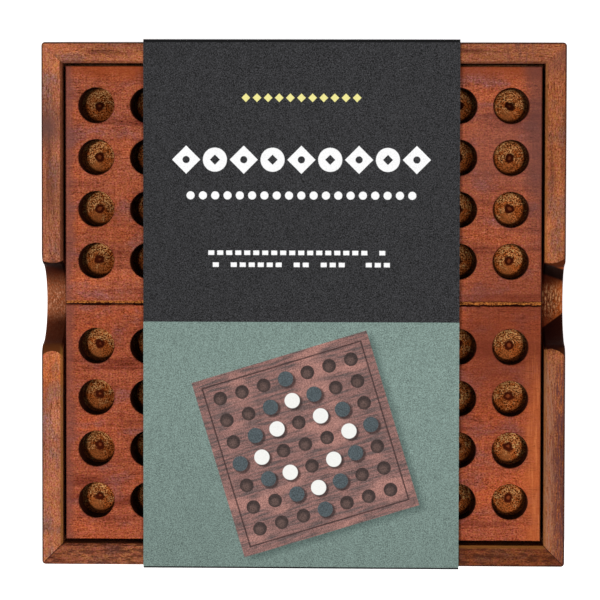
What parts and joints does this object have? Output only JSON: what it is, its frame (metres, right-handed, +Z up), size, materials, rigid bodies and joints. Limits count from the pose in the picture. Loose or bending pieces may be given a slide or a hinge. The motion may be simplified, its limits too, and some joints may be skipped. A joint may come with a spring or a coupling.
{
  "type": "code breaking peg game",
  "caption": "Boxed wooden code breaking peg game: a drilled peg board in a mitred box with finger notches, pegs stored below, in a card sleeve that slides off.",
  "frame": {"origin": "under the middle of the box, on the surface that the sleeve rests on", "axes": "+X across the peg columns, +Y along them towards the far rail, +Z up out of the peg holes"},
  "size_m": [0.175, 0.1768, 0.0368],
  "materials": {
    "frame_wood": "satin lacquer",
    "board_wood": "stained, satin",
    "panel_wood": "stained plywood",
    "ledge_wood": "bare",
    "pin_steel": "bright",
    "code_peg_wood": "dark stain",
    "white_peg_wood": "white paint",
    "black_peg_wood": "black paint",
    "guide_paper": "uncoated",
    "sleeve_card": "matt print"
  },
  "bodies": {
    "box": {"left_rail": "frame_wood", "right_rail": "frame_wood", "front_rail": "frame_wood", "back_rail": "frame_wood", "bottom_panel": "panel_wood", "left_ledge": "ledge_wood", "right_ledge": "ledge_wood", "front_ledge": "ledge_wood", "back_ledge": "ledge_wood", "corner_pins": "pin_steel", "code_pegs_spade": "code_peg_wood", "code_pegs_heart": "code_peg_wood", "code_pegs_diamond": "code_peg_wood", "code_pegs_club": "code_peg_wood", "code_pegs_star": "code_peg_wood", "code_pegs_cross": "code_peg_wood", "key_pegs_white": "white_peg_wood", "key_pegs_black": "black_peg_wood", "game_guide": "guide_paper"},
    "board": {"peg_board": "board_wood"},
    "sleeve": {"card_sleeve": "sleeve_card"}
  },
  "joints": [
    {"name": "sleeve_slide", "type": "slide", "parent": "box", "child": "sleeve", "axis": [1, 0, 0], "range_m": [-0.145, 0.145]},
    {"name": "board_lift", "type": "slide", "parent": "box", "child": "board", "axis": [0, 0, 1], "range_m": [0, 0.0012]}
  ]
}
